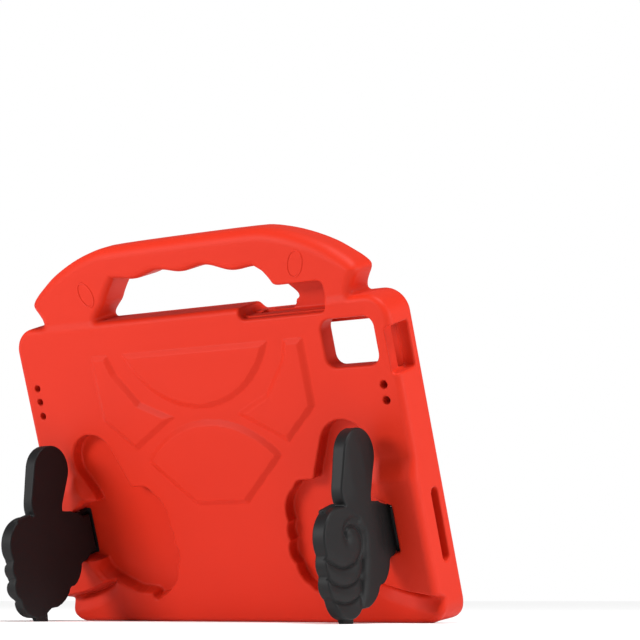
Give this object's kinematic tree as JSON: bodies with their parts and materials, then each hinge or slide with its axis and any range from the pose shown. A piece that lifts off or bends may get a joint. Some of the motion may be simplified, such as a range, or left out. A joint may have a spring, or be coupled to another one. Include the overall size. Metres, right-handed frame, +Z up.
{
  "type": "tablet case",
  "caption": "Bright foam case for a tablet, with a carry handle with finger waves and fold-out thumbs-up stands hinged in its back.",
  "frame": {"origin": "on the floor under the middle of the object's bounding box, as the case leans back on its open stands", "axes": "+X along the case's width, to the right as seen from behind; +Z up; -Y towards the side the case's back and its stands face. The case leans 18.7 degrees, its top towards -Y."},
  "size_m": [0.264, 0.1068, 0.2171],
  "materials": {
    "foam": "soft closed-cell EVA foam, matt with a faint sheen",
    "black_plastic": "moulded black plastic, satin",
    "pin_steel": "bright steel pin"
  },
  "bodies": {
    "case": {"back_panel": "foam", "back_pattern": "foam", "top_rail": "foam", "bottom_rail": "foam", "left_rail": "foam", "right_rail": "foam", "handle_left_leg": "foam", "handle_right_leg": "foam", "handle_grip": "foam", "left_housing": "foam", "right_housing": "foam", "left_hinge_bracket": "black_plastic", "right_hinge_bracket": "black_plastic", "left_hinge_pin": "pin_steel", "right_hinge_pin": "pin_steel"},
    "left_stand": {"left_stand": "black_plastic"},
    "right_stand": {"right_stand": "black_plastic"}
  },
  "joints": [
    {"name": "left_stand_hinge", "type": "hinge", "parent": "case", "child": "left_stand", "pos_m": [-0.1111, 0.0136, 0.05152], "axis": [0, -0.3206, 0.9472], "range_deg": [0, 90]},
    {"name": "right_stand_hinge", "type": "hinge", "parent": "case", "child": "right_stand", "pos_m": [0.1111, 0.0136, 0.05152], "axis": [0, 0.3206, -0.9472], "range_deg": [0, 90]}
  ]
}
